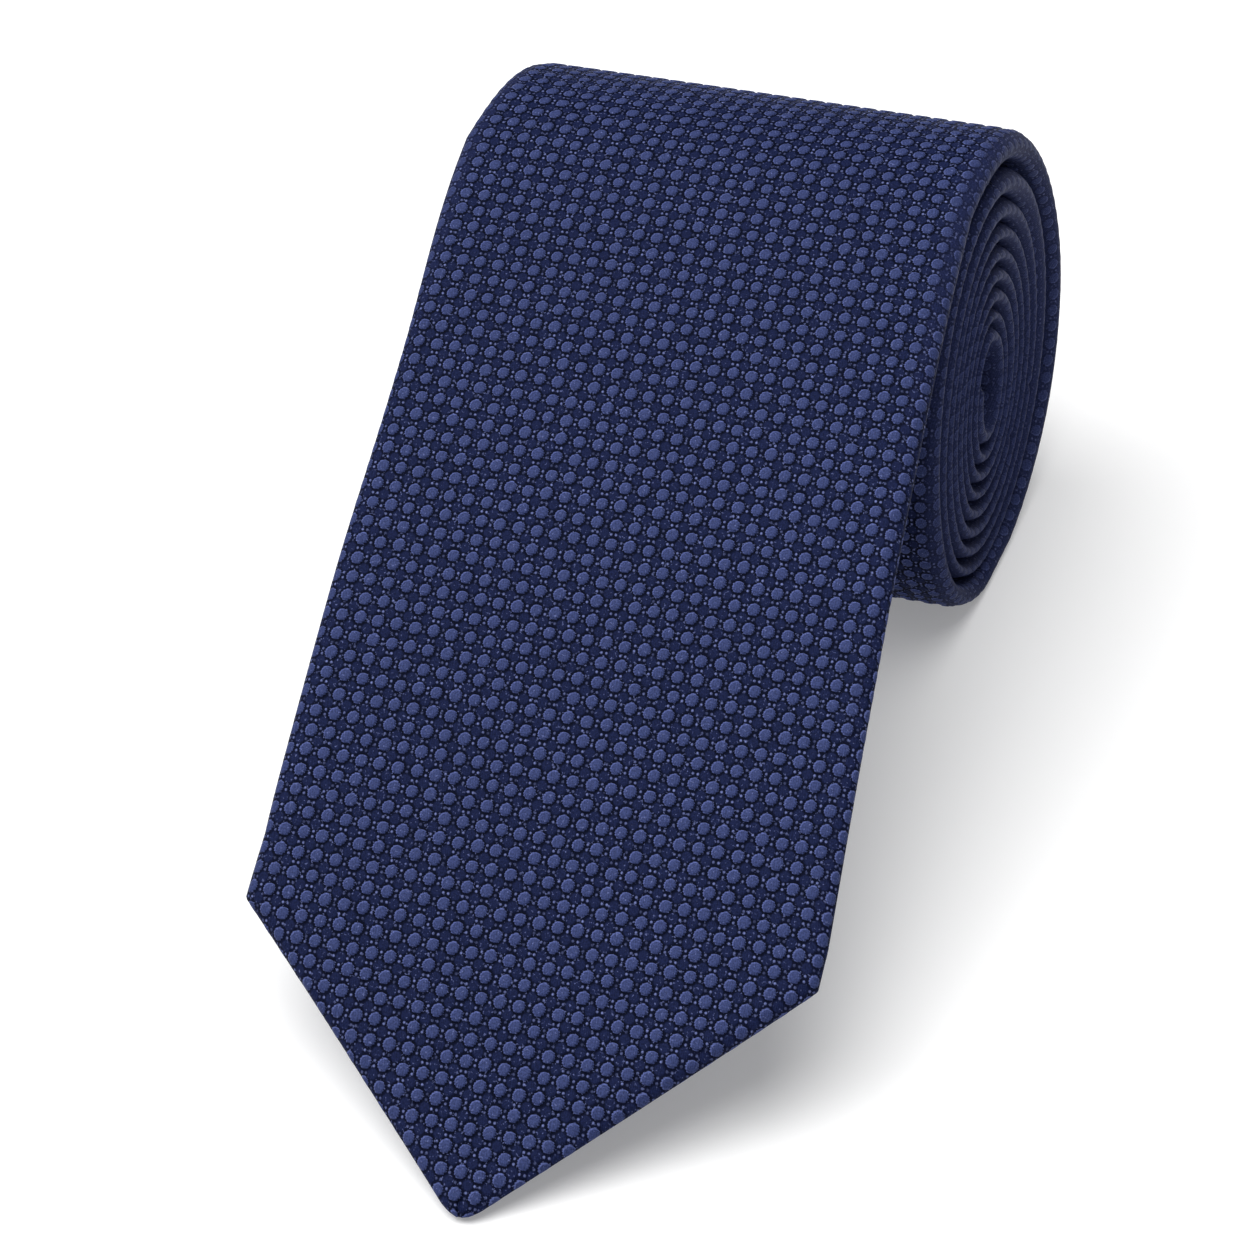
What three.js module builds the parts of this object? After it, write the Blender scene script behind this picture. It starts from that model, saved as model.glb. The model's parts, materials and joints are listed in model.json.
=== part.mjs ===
// A gentleman's necktie, rolled up from its narrow end, with the wide blade lying free in front of the roll.
// Millimetres. X runs across the cloth, along the roll's axis. The blade leaves the top of the roll towards
// -Y and comes down to rest its point on the table. +Z is up and the table is z = 0.
import * as THREE from 'three';

// Lengths along the cloth, all measured from the blade's point.
const tieLength = 1300;
const freeLength = 175;      // blade that lies clear of the roll
const bladeSeamAt = 640;     // diagonal join of blade and neck, drawn square here
const tailSeamAt = 930;      // join of neck and tail

// Widths of the folded tie.
const bladeWidth = 88;       // at the shoulders of the point
const rollWidth = 83;        // where the blade comes off the roll
const neckWidth = 36;
const tailWidth = 42;

// The blade's point is a little out of square, and the free blade veers sideways as it leaves the roll.
const leftShoulder = 39.8;
const rightShoulder = 43.7;
const tailPoint = 20;
const bluntTip = 1.5;        // the folded cloth is too thick to come to a sharp point
const sideDrift = 15.6;
const tipOffset = -2.1;

// Thicknesses, from the front of the tie to its back: cloth, interlining, cloth.
const cloth = 0.5;
const interlining = 0.8;
const clearance = 0.3;       // between pieces that lie on each other
const thread = 0.4;

// The roll: an upright oval of turns, tight at the eye and looser outside.
const turnsAbout = 20;       // facets in one turn
const eyeHalfWidth = 2.9;
const eyeHalfHeight = 5.5;
const turnGapWidth = 0.35;   // air between turns at the front and back of the roll
const turnGapHeight = 0.78;  // air between turns at its top and bottom
const looseWidth = 7.7;      // how far the outermost turn stands off, in half-widths and half-heights
const looseHeight = 4;
const looseTurns = 1;        // turns over which that dies away
const frontPress = 3.3;      // the front of the roll is pushed back under the leaving blade
const pressStarts = 0.2;     // turns over which the push builds up, and then dies away
const pressTurns = 2.2;
const coreSag = 1.7;         // the core lies below the middle of the outer turn
const sagTurns = 4.8;
const leaveAngle = 15;       // degrees in front of the roll's top where the blade leaves it
const tableFlat = 0.35;      // how far the cloth settles flat on the table
const straighten = 40;       // length over which the free blade loses the curve of the roll
const steepest = 80;         // degrees, more than the free blade ever slopes
const facetLength = 22;      // of the free blade
const freeSteps = 240;       // short steps that its curve is built from

// The back of the tie.
const hemAtSide = 15;        // folded hem at the shoulders
const hemAtPoint = 14;       // the same hem, measured across the point
const bladeMeetAt = 108;     // where the two folded edges meet at the centre back
const tailMeetAt = 58;       // the same, measured from the tail's point
const seamGap = 1;           // between the two folded edges along the slip stitch
const tackLength = 1.6;
const tackWidth = 1;
const tackHalfOpening = 1.6; // half of the opening where the folded edges are tacked together
const tippingThickness = 0.3;
const tippingHalf = 1.2;     // half-width at which the tipping ends in the narrowing opening
const liningEnd = 5;         // the interlining stops this far short of each point
const loopAt = 146;          // centre of the keeper loop
const loopBand = 12;
const loopSpan = 46;
const loopFoot = 2.8;        // sewn end of the loop, flat on the tie
const loopShoulder = 9;      // the loop stands at its full rise this far in from its end
const loopRise = 2.4;        // room under the loop for the tail
const loopCloth = 0.6;
const labelAt = 124;
const labelLength = 18;
const labelSpan = 42;
const labelCloth = 0.3;
const careLabelAt = 64;
const careLabelLength = 20;
const careLabelSpan = 14;
const careLabelSide = -5;
const stitchInset = 1.2;     // stitch line in from an edge
const stitchShort = 1;       // a stitch line ends this far short of the edge it runs towards
const tippingStitchStart = 12;  // the tipping is sewn from this far on the point's side of the shoulders
const tippingStitchShort = 4;   // to this far short of the tack
const slackLoopLength = 16;
const slackLoopWidth = 7;
const slackLoopStart = 3;    // its two legs start this far from the tack
const slackLoopLegs = 3;     // and this far apart
const threadFacets = 6;
const threadSteps = 28;

// Building limits.
const stationSpacing = 0.4;  // closest that two cross-sections come to each other
const seamSlack = 0.01;      // an opening this much wider than the seam gap counts as open
const shortestFacet = 0.1;   // of the usual facet of the roll
const mostTurns = 60;
const halvings = 60;         // of a search between two values

const half = interlining / 2 + clearance + cloth;  // from the middle of the tie to its face
const flapInside = interlining / 2 + clearance;
const fullTurn = 2 * Math.PI;
const radians = Math.PI / 180;

function bisect(tooFar, low, high) {
  for (let step = 0; step < halvings; step += 1) {
    const middle = (low + high) / 2;
    if (tooFar(middle)) high = middle;
    else low = middle;
  }
  return (low + high) / 2;
}

const mix = (a, b, share) => a + (b - a) * share;
const ramp = (value, low, high) => Math.min(Math.max((value - low) / (high - low), 0), 1);

// ---- The line that the middle of the cloth follows, in the YZ plane ----

function rollPoint(turnsIn, turns) {
  const pitchWidth = 2 * half + turnGapWidth;
  const pitchHeight = 2 * half + turnGapHeight;
  const loose = Math.exp(-turnsIn / looseTurns);
  const acrossRoll = eyeHalfWidth + pitchWidth * (turns - turnsIn) + looseWidth * loose;
  const upRoll = eyeHalfHeight + pitchHeight * (turns - turnsIn) + looseHeight * loose;
  const pressed = frontPress * (Math.exp(-turnsIn / pressTurns) - Math.exp(-turnsIn / pressStarts));
  const angle = fullTurn * turnsIn - leaveAngle * radians;
  return {
    y: pressed + acrossRoll * Math.sin(angle),
    z: coreSag * Math.exp(-turnsIn / sagTurns) + upRoll * Math.cos(angle),
  };
}

function rollLine(turns) {
  const facet = 1 / turnsAbout;
  const first = (leaveAngle / 360 + facet / 2) % facet;  // puts a facet's middle at the very bottom
  const places = [0];
  for (let turnsIn = first; turnsIn < turns; turnsIn += facet) {
    if (Math.min(turnsIn, turns - turnsIn) > shortestFacet * facet) places.push(turnsIn);
  }
  places.push(turns);
  return places.map((turnsIn) => rollPoint(turnsIn, turns));
}

function lineLength(points) {
  let sum = 0;
  for (let i = 1; i < points.length; i += 1) {
    sum += Math.hypot(points[i].y - points[i - 1].y, points[i].z - points[i - 1].z);
  }
  return sum;
}

// The roll stands on the table, where its own weight presses a short flat into the outermost turn.
function standingRoll() {
  const rolled = tieLength - freeLength;
  const turns = bisect((count) => lineLength(rollLine(count)) > rolled, 1, mostTurns);
  const line = rollLine(turns);
  const lowest = Math.min(...line.map((point) => point.z));
  return line.map(({ y, z }) => ({ y, z: Math.max(z, lowest + tableFlat) - lowest - tableFlat + half }));
}

// The blade leaves the roll at the roll's own slope and straightens to the slope that brings its point to the
// table.
function freeLine(start, startSlope) {
  const step = (freeLength - bluntTip) / freeSteps;
  const run = (endSlope) => {
    const points = [start];
    let slope = startSlope;
    for (let i = 1; i <= freeSteps; i += 1) {
      const last = points[i - 1];
      slope = endSlope - (endSlope - startSlope) * Math.exp(-((i - 0.5) * step) / straighten);
      points.push({ y: last.y - Math.cos(slope) * step, z: last.z - Math.sin(slope) * step });
    }
    const end = points[freeSteps];
    return { points, under: end.z - half * Math.cos(slope) };
  };
  const endSlope = bisect((slope) => run(slope).under < 0, startSlope / 2, steepest * radians);
  return run(endSlope).points;
}

function middleLine() {
  const roll = standingRoll();
  const startSlope = Math.atan2(roll[1].z - roll[0].z, roll[1].y - roll[0].y);
  const free = freeLine(roll[0], startSlope);
  const wanted = [bluntTip, leftShoulder / 2, leftShoulder, rightShoulder];
  for (let at = rightShoulder + facetLength; at < freeLength - facetLength / 2; at += facetLength) {
    wanted.push(at);
  }
  const line = wanted.map((at) => {
    const share = (freeLength - at) / (freeLength - bluntTip) * (free.length - 1);
    const i = Math.min(Math.floor(share), free.length - 2);
    return {
      at,
      y: mix(free[i].y, free[i + 1].y, share - i),
      z: mix(free[i].z, free[i + 1].z, share - i),
    };
  });
  let at = freeLength;
  roll.forEach((point, i) => {
    if (i > 0) at += Math.hypot(point.y - roll[i - 1].y, point.z - roll[i - 1].z);
    line.push({ at, ...point });
  });
  // Outward directions are mitred, so every facet of every layer keeps its true distance from this line.
  return line.map((point, i) => {
    const before = line[Math.max(i - 1, 0)];
    const after = line[Math.min(i + 1, line.length - 1)];
    const arriving = new THREE.Vector2(point.y - before.y, point.z - before.z).normalize();
    const leaving = new THREE.Vector2(after.y - point.y, after.z - point.z).normalize();
    const along = arriving.clone().add(leaving).normalize();
    const mitre = 1 / Math.max(along.dot(arriving), along.dot(leaving));
    return { ...point, outY: -along.y * mitre, outZ: along.x * mitre };
  });
}

const line = middleLine();

// A place along the tie. Between two stations it stays on their straight facet.
function station(at) {
  let i = line.findIndex((point) => point.at > at);
  if (i < 0) i = line.length - 1;
  i = Math.max(i, 1);
  const share = (at - line[i - 1].at) / (line[i].at - line[i - 1].at);
  const blend = (key) => mix(line[i - 1][key], line[i][key], share);
  return { at, y: blend('y'), z: blend('z'), outY: blend('outY'), outZ: blend('outZ') };
}

function stationsBetween(from, to, extra = []) {
  const inside = [...line.map((point) => point.at), ...extra]
    .filter((at) => at > from + stationSpacing && at < to - stationSpacing)
    .sort((a, b) => a - b)
    .filter((at, i, all) => i === 0 || at - all[i - 1] > stationSpacing);
  return [from, ...inside, to].map(station);
}

function place(across, at, out) {
  const here = station(at);
  return new THREE.Vector3(across, here.y + out * here.outY, here.z + out * here.outZ);
}

// ---- Outline of the folded tie ----

const tieEnd = line[line.length - 1].at;
const tailShoulder = tieEnd - tailPoint;
const flushEdge = rollWidth / 2;

function widthAt(at) {
  if (at < freeLength) return mix(bladeWidth, rollWidth, ramp(at, leftShoulder, freeLength));
  if (at < bladeSeamAt) return mix(rollWidth, neckWidth, ramp(at, freeLength, bladeSeamAt));
  return mix(neckWidth, tailWidth, ramp(at, tailSeamAt, tailShoulder));
}

// The roll is wound flush on its +X side, so all of its taper shows on the other side.
function edges(at) {
  const width = widthAt(at);
  if (at < freeLength) {
    const middle = sideDrift * (freeLength - at) / freeLength;
    const tip = sideDrift + tipOffset;
    return {
      left: mix(tip, middle - width / 2, ramp(at, 0, leftShoulder)),
      right: mix(tip, middle + width / 2, ramp(at, 0, rightShoulder)),
    };
  }
  const tip = flushEdge - tailWidth / 2;
  const point = ramp(at, tieEnd + bluntTip, tailShoulder);
  return { left: mix(tip, flushEdge - width, point), right: mix(tip, flushEdge, point) };
}

// Half of the opening between the two folded edges at the back.
function openingAt(at) {
  const { left, right } = edges(at);
  const halfWidth = (right - left) / 2;
  const closed = seamGap / 2;
  const open = (fromEnd, shoulder, meet) => {
    const atPoint = Math.max(halfWidth - hemAtPoint, closed);
    if (fromEnd <= shoulder) return atPoint;
    return mix(Math.max(halfWidth - hemAtSide, closed), closed, ramp(fromEnd, shoulder, meet));
  };
  if (at < tieEnd / 2) return open(at, leftShoulder, bladeMeetAt);
  return open(tieEnd - at, tailPoint, tailMeetAt);
}

// ---- Solids ----

// Carries a closed outline of [across, out] points along the tie.
function sweep(stations, outline) {
  const rings = stations.map((here) => outline(here.at));
  const count = rings[0].length;
  const positions = [];
  rings.forEach((ring, k) => {
    const { y, z, outY, outZ } = stations[k];
    for (const [across, out] of ring) positions.push(across, y + out * outY, z + out * outZ);
  });
  const faces = [];
  for (let k = 0; k + 1 < rings.length; k += 1) {
    for (let i = 0; i < count; i += 1) {
      const j = (i + 1) % count;
      const [a, b, c, d] = [k * count + i, k * count + j, (k + 1) * count + j, (k + 1) * count + i];
      faces.push(a, d, c, a, c, b);
    }
  }
  const cap = (k, flip) => {
    const contour = rings[k].map(([across, out]) => new THREE.Vector2(across, out));
    for (const [a, b, c] of THREE.ShapeUtils.triangulateShape(contour, [])) {
      faces.push(...(flip ? [a, c, b] : [a, b, c]).map((i) => k * count + i));
    }
  };
  cap(0, false);
  cap(rings.length - 1, true);
  const geometry = new THREE.BufferGeometry();
  geometry.setAttribute('position', new THREE.Float32BufferAttribute(positions, 3));
  geometry.setIndex(faces);
  geometry.computeVertexNormals();
  return geometry;
}

const bar = (left, right, low, high) => [[left, low], [right, low], [right, high], [left, high]];

// One layer of cloth over the front, folded round both sides and back in to the slip stitch.
function shellOutline(at) {
  const { left, right } = edges(at);
  const middle = (left + right) / 2;
  const opening = openingAt(at);
  return [
    [middle + opening, -half], [right, -half], [right, half], [left, half], [left, -half],
    [middle - opening, -half], [middle - opening, -flapInside], [left + cloth, -flapInside],
    [left + cloth, flapInside], [right - cloth, flapInside], [right - cloth, -flapInside],
    [middle + opening, -flapInside],
  ];
}

function interliningOutline(at) {
  const { left, right } = edges(at);
  const inset = cloth + clearance;
  return bar(left + inset, right - inset, -interlining / 2, interlining / 2);
}

// Fills the opening between the folded edges, level with them.
function tippingOutline(at) {
  const { left, right } = edges(at);
  const middle = (left + right) / 2;
  const reach = openingAt(at) - clearance;
  return bar(middle - reach, middle + reach, -flapInside - tippingThickness, -flapInside);
}

function seamThreadOutline(at) {
  const { left, right } = edges(at);
  const middle = (left + right) / 2;
  return bar(middle - thread / 2, middle + thread / 2, -flapInside - thread, -flapInside);
}

const flatBar = (middle, span, low, high) => () => bar(middle - span / 2, middle + span / 2, low, high);
const middleAt = (at) => (edges(at).left + edges(at).right) / 2;
const onBack = -half - clearance;  // where a piece sewn on the back of the tie begins

// First place from `from` towards `to` where the opening is at least `least` wide on each side of the middle.
function openingReaches(least, from, to) {
  const share = bisect((t) => openingAt(mix(from, to, t)) > least, 0, 1);
  return mix(from, to, share);
}

// A band that arches over the back of the tie between its two sewn feet.
function keeperLoopOutline() {
  const middle = middleAt(loopAt);
  const leftHalf = [[0, 0], [loopFoot, 0], [loopShoulder, loopRise]]
    .map(([inward, rise]) => [loopSpan / 2 - inward, onBack - rise]);
  const inner = [
    ...leftHalf.map(([side, out]) => [middle - side, out]),
    ...leftHalf.reverse().map(([side, out]) => [middle + side, out]),
  ];
  const outer = inner.map(([across, out]) => [across, out - loopCloth]);
  return [...outer, ...inner.reverse()];
}

function stitchLine(side) {
  return (at) => {
    const { left, right } = edges(at);
    const across = (left + right) / 2 + side * (openingAt(at) + stitchInset);
    return bar(across - thread / 2, across + thread / 2, onBack - thread, onBack);
  };
}

// A round thread along a curve through the places given.
function roundThread(places) {
  const extrudePath = new THREE.CatmullRomCurve3(places);
  const section = new THREE.Shape().absarc(0, 0, thread / 2, 0, fullTurn);
  return new THREE.ExtrudeGeometry(section, { extrudePath, steps: threadSteps, curveSegments: threadFacets });
}

// The spare loop of slip stitch thread, which lets the tie stretch. It lies on the tipping below the tack.
function slackLoop(tackAt) {
  const out = -flapInside - tippingThickness - clearance - thread;
  const legs = [
    { side: slackLoopLegs / 2, away: slackLoopStart },
    { side: slackLoopWidth / 2, away: 0.55 * slackLoopLength },
    { side: 0.6 * slackLoopWidth / 2, away: 0.85 * slackLoopLength },
  ];
  const middle = middleAt(tackAt);
  const leg = (hand) => legs.map(({ side, away }) => place(middle + hand * side, tackAt - away, out));
  return roundThread([...leg(-1), place(middle, tackAt - slackLoopLength, out), ...leg(1).reverse()]);
}

// ---- The pieces ----

const material = (color, roughness) => new THREE.MeshStandardMaterial({ color, roughness, metalness: 0 });
const silk = material('#2c3468', 0.62);
const lining = material('#1f2750', 0.45);
const wool = material('#d8d2c4', 0.95);
const threadColour = material('#252c5c', 0.7);
const labelColour = material('#20274f', 0.6);

const necktie = new THREE.Group();
const tie = new THREE.Group();
necktie.add(tie);

function add(name, geometry, look) {
  const mesh = new THREE.Mesh(geometry, look);
  mesh.name = name;
  tie.add(mesh);
}

const freeEnd = freeLength - clearance;
const seamHalf = clearance + thread / 2;
const bladeTackEnd = openingReaches(tackHalfOpening, bladeMeetAt, leftShoulder);
const tailTackEnd = openingReaches(tackHalfOpening, tieEnd - tailMeetAt, tailShoulder);
const bladeTippingLow = openingReaches(tippingHalf, bluntTip, leftShoulder);
const tailTippingHigh = openingReaches(tippingHalf, tieEnd, tailShoulder);
const barelyOpen = seamGap / 2 + seamSlack;
const openingEdges = [
  openingReaches(barelyOpen, bluntTip, leftShoulder), leftShoulder, rightShoulder, bladeMeetAt,
  tieEnd - tailMeetAt, tailShoulder, openingReaches(barelyOpen, tieEnd, tailShoulder),
];

const piece = (from, to, outline) => sweep(stationsBetween(from, to, openingEdges), outline);

add('blade_shell_free', piece(bluntTip, freeEnd, shellOutline), silk);
add('blade_shell_rolled', piece(freeLength, bladeSeamAt - seamHalf, shellOutline), silk);
add('neck_shell', piece(bladeSeamAt + seamHalf, tailSeamAt - seamHalf, shellOutline), silk);
add('tail_shell', piece(tailSeamAt + seamHalf, tieEnd, shellOutline), silk);
add('interlining_free', piece(liningEnd, freeEnd, interliningOutline), wool);
add('interlining_rolled', piece(freeLength, tieEnd - liningEnd, interliningOutline), wool);

add('blade_tipping', piece(bladeTippingLow, bladeTackEnd - clearance, tippingOutline), lining);
add('tail_tipping', piece(tailTackEnd + clearance, tailTippingHigh, tippingOutline), lining);

const tack = (at) => flatBar(middleAt(at), tackWidth, -flapInside - thread, -flapInside);
const slipStitchFrom = bladeTackEnd + tackLength + clearance;
const slipStitchTo = tailTackEnd - tackLength - clearance;
add('blade_bar_tack', piece(bladeTackEnd, bladeTackEnd + tackLength, tack(bladeTackEnd)), threadColour);
add('tail_bar_tack', piece(tailTackEnd - tackLength, tailTackEnd, tack(tailTackEnd)), threadColour);
add('slip_stitch_free', piece(slipStitchFrom, freeEnd, seamThreadOutline), threadColour);
add('slip_stitch_rolled', piece(freeLength, slipStitchTo, seamThreadOutline), threadColour);
add('slack_loop', slackLoop(bladeTackEnd), threadColour);

for (const [name, at] of [['blade_neck_seam', bladeSeamAt], ['neck_tail_seam', tailSeamAt]]) {
  const { left, right } = edges(at);
  const outline = () => bar(left + cloth, right - cloth, flapInside, flapInside + thread);
  add(name, sweep([station(at - thread / 2), station(at + thread / 2)], outline), threadColour);
}

const around = (at, length, outline) => piece(at - length / 2, at + length / 2, outline);
const labelBar = (middle, span) => flatBar(middle, span, onBack - labelCloth, onBack);
add('keeper_loop', around(loopAt, loopBand, keeperLoopOutline), silk);
add('label', around(labelAt, labelLength, labelBar(middleAt(labelAt), labelSpan)), labelColour);
add('care_label', around(
  careLabelAt, careLabelLength, labelBar(middleAt(careLabelAt) + careLabelSide, careLabelSpan),
), labelColour);

// A line of thread lying against the outer face of something sewn on the back, `face` out from the middle.
const threadOn = (across, face) => flatBar(across, thread, face - clearance - thread, face - clearance);

for (const [name, side] of [['left', -1], ['right', 1]]) {
  const loopEdge = middleAt(loopAt) + side * (loopSpan / 2 - stitchInset);
  const loopStitch = around(loopAt, loopBand - 2 * stitchShort, threadOn(loopEdge, onBack - loopCloth));
  add(`keeper_loop_stitch_${name}`, loopStitch, threadColour);

  const labelEdge = middleAt(labelAt) + side * (labelSpan / 2 - stitchInset);
  const labelThread = threadOn(labelEdge, onBack - labelCloth);
  const labelStitch = around(labelAt, labelLength - 2 * stitchShort, labelThread);
  add(`label_stitch_${name}`, labelStitch, threadColour);

  const from = leftShoulder - tippingStitchStart;
  const tippingStitch = piece(from, bladeTackEnd - tippingStitchShort, stitchLine(side));
  add(`tipping_stitch_${name}`, tippingStitch, threadColour);
}

// The origin is under the middle of the whole tie, on the table.
const box = new THREE.Box3().setFromObject(tie);
tie.position.set(-(box.min.x + box.max.x) / 2, -(box.min.y + box.max.y) / 2, -box.min.z);

export default necktie;
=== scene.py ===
import json
import math

import bpy
import numpy as np
from mathutils import Matrix, Vector


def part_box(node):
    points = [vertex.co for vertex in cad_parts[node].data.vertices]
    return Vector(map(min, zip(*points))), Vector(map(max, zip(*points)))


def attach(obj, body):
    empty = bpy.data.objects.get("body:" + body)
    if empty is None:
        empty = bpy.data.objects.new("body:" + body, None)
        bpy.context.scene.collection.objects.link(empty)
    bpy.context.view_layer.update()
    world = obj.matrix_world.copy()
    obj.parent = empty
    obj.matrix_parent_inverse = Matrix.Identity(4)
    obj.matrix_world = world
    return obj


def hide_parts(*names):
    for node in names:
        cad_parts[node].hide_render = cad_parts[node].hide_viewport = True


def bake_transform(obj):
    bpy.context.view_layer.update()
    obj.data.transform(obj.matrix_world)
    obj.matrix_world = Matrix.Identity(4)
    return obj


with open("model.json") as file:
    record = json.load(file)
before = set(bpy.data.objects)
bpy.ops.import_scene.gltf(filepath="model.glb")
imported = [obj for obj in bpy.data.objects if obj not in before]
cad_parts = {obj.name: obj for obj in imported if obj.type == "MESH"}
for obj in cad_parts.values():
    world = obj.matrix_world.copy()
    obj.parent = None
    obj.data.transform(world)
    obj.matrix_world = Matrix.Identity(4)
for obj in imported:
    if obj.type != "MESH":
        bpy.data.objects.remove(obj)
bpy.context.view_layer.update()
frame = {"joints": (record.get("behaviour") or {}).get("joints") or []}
MM = 0.001

# ---- Sizes of the tie, in millimetres. They are the CAD source's own values. ----

TIE_LENGTH = 1300.0
FREE_LENGTH = 175.0
BLADE_SEAM_AT = 640.0
TAIL_SEAM_AT = 930.0
BLADE_WIDTH = 88.0
ROLL_WIDTH = 83.0
NECK_WIDTH = 36.0
TAIL_WIDTH = 42.0
LEFT_SHOULDER = 39.8
RIGHT_SHOULDER = 43.7
TAIL_POINT = 20.0
SIDE_DRIFT = 15.6
TIP_OFFSET = -2.1
HALF = 1.2  # from the middle of the tie to its face
EYE_HALF_WIDTH = 2.9
EYE_HALF_HEIGHT = 5.5
PITCH_WIDTH = 2 * HALF + 0.35
PITCH_HEIGHT = 2 * HALF + 0.78
LOOSE_WIDTH = 7.7
LOOSE_HEIGHT = 4.0
LOOSE_TURNS = 1.0
FRONT_PRESS = 3.3
PRESS_STARTS = 0.2
PRESS_TURNS = 2.2
CORE_SAG = 1.7
SAG_TURNS = 4.8
LEAVE_ANGLE = math.radians(15.0)
STRAIGHTEN = 40.0
HEM_AT_SIDE = 15.0
HEM_AT_POINT = 14.0
BLADE_MEET_AT = 108.0
TAIL_MEET_AT = 58.0
SEAM_GAP = 1.0
LOOP_AT = 146.0
LOOP_BAND = 12.0
LOOP_SPAN = 46.0
LOOP_RISE = 2.4
LABEL_AT = 124.0
LABEL_LENGTH = 18.0
LABEL_SPAN = 42.0
CARE_LABEL_AT = 64.0
CARE_LABEL_LENGTH = 20.0
CARE_LABEL_SPAN = 14.0
CARE_LABEL_SIDE = -5.0
STITCH_INSET = 1.2
SLACK_LOOP_LENGTH = 16.0
SLACK_LOOP_WIDTH = 7.0

# ---- What the cloth adds to the CAD's plain solids. Places along the tie are from its point. ----

FREE_THICKNESS = 3.8  # of the folded blade
TIP_THICKNESS = 2.4
TIP_THINS = 40.0  # over this length
THICKNESS_JOINS = 30.0  # the blade's thickness goes over into the roll's along this length
THICKEST_TURN = 5.0
TURN_FILL = 0.94  # share of the distance between turns that the folded cloth takes
EYE_FILL = 1.0  # the last turn is this much thicker and nearly closes the eye
EYE_FILL_TURNS = (1.1, 0.8)  # where that comes in, in turns from the end
FOLD_REACH = 3.4  # how far in from an edge the cloth begins to curve round it
HEM_RADIUS = 0.42
HEM_RETURN = 5.0  # the hem's way back between the layers
TIPPING_DEPTH = 2 * HEM_RADIUS + 0.15  # from the back face in to the tipping
SHELL_SEAM_AT = FREE_LENGTH + 7.0  # where the moving cloth is joined to the still cloth
FREE_START = 0.3  # where the silk of the blade begins
TIP_LEFT = 1.1  # half widths of the blunt ends of the two points
TIP_RIGHT = 1.5
TAIL_TIP = 0.9
END_ROUNDING = 1.6
TIP_CLEARANCE = 0.05  # of the point over the table
LEAST_HEIGHT = 0.02  # of the outer face over the table

ROLL_SWELL = 0.45  # the outermost turn stands off this much
SWELL_COMES, SWELL_GOES = (150, 200), (375, 420)
FOOT_REACH = 6.0  # the roll's foot spreads forward on the table
FOOT_HEIGHT = 65.0
FOOT_COMES = (176, 200)
POINT_BOW = 1.2  # the blade's point bends to its left
POINT_BOW_LENGTH = 50.0
# How much further out the left edge lies, and where that comes in. The cloth keeps its full width
# until it is well over the top of the roll.
FULLER = ((1.0, 20, 60), (-0.6, 90, 125), (1.5, 130, 170), (4.6, 175, 225))
FULLER_GOES = (260, 430)
RIGHT_FULLER = 0.7
RIGHT_FULLER_COMES, RIGHT_FULLER_GOES = (215, 250), (320, 380)

THREAD_RADIUS = 0.2  # of the slip stitch
TACK_RADIUS = 0.17  # of bar tacks and keeper stitches
FINE_RADIUS = 0.12  # of seams and lining stitches
LABEL_THREAD_RADIUS = 0.13

# ---- The weave. Sizes within one repeat are shares of it. ----

CELL_ACROSS = 3.009  # the weave's repeat
CELL_ALONG = 3.188
DRIFT_SLOPE = 0.0733  # sideways run of the free blade per length
DOT_HEIGHT = 0.27
RELIEF_MIDDLE = 0.45  # the height of the relief that lies on the plain face
DOT_RADIUS = 0.318
DOT_SLANT = 0.05
DOT_SHIFT = 0.022  # how far the dots stray from their places
DOT_GROWTH = 0.012  # how much their radii differ
PICK_RADIUS = 0.085
PICK_APART = 0.13
PICK_RISE = 0.5  # as shares of a dot's height
PATCH_RISE = 0.22
PRESSED_RELIEF = 0.85  # share of the relief that pressing takes away
UNEVEN = 0.12  # slow unevenness of the cloth
SEAM_DIP = 0.4
SEAM_DIP_REACH = 0.6
DOT_COLOUR = (51, 60, 100)
# a painted highlight on the upper-left rim of each dot
DOT_HIGHLIGHT_COLOUR = (80, 90, 140)
PATCH_COLOUR = (21, 28, 59)
GAP_COLOUR = (5, 10, 32)
# the pick stitches, lightened to their glints' brightness, and the painted glints
PICK_AND_GLINT_COLOUR = (98, 107, 154)
PRESSED_COLOUR = (37, 43, 75)  # of the folded sides of the roll, where the weave is pressed flat

# ---- The mesh ----

STEPS_PER_TURN = 240  # of the roll's spiral
FREE_STEPS = 700
FREE_ROWS = 9  # rows of the silk's mesh per repeat of the weave
ROLL_ROWS = 7
FRONT_COLS = 9
THREAD_SIDES = 8

# ---- The studio, in metres ----

WORLD_LIGHT = 0.24
# name, position, aim, diameter, watts
LIGHTS = (
    ("key", (-0.9, -0.4, 1.2), (0.0, 0.0, 0.02), 1.2, 6.5),
    ("overhead", (-0.2, -0.05, 1.5), (0.0, 0.0, 0.0), 2.0, 32.0),
)
FLOOR_GLOW = 0.24  # a light table: it keeps the shadows pale
FLOOR_GREYS = (0.78, 0.81)
FLOOR_REACH = 3000.0  # mm, like all below
FLOOR_LEVEL = -0.05
CAMERA_AZIMUTH, CAMERA_ELEVATION, CAMERA_ROLL = 24.1363, 38.2535, -5.1002  # degrees
CAMERA_DISTANCE = 693.4808
CAMERA_TARGET = (-4.9736, -0.3227, 27.0)
SENSOR_WIDTH = 36.0
FOCAL_LENGTH = 4476.4093  # in pixels of an image this wide
IMAGE_WIDTH = 1254


# ---- The path of the cloth ----


def bisect(too_far, low, high):
    """Where too_far begins to hold between low and high."""
    for _ in range(60):
        middle = (low + high) / 2
        if too_far(middle):
            high = middle
        else:
            low = middle
    return (low + high) / 2


def ramp(value, low, high):
    """Share of the way from low to high, kept within 0 and 1."""
    return np.clip((np.asarray(value, float) - low) / (high - low), 0, 1)


def smooth(value, low, high):
    t = ramp(value, low, high)
    return t * t * (3 - 2 * t)


def mix(a, b, share):
    return a + (b - a) * share


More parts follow.
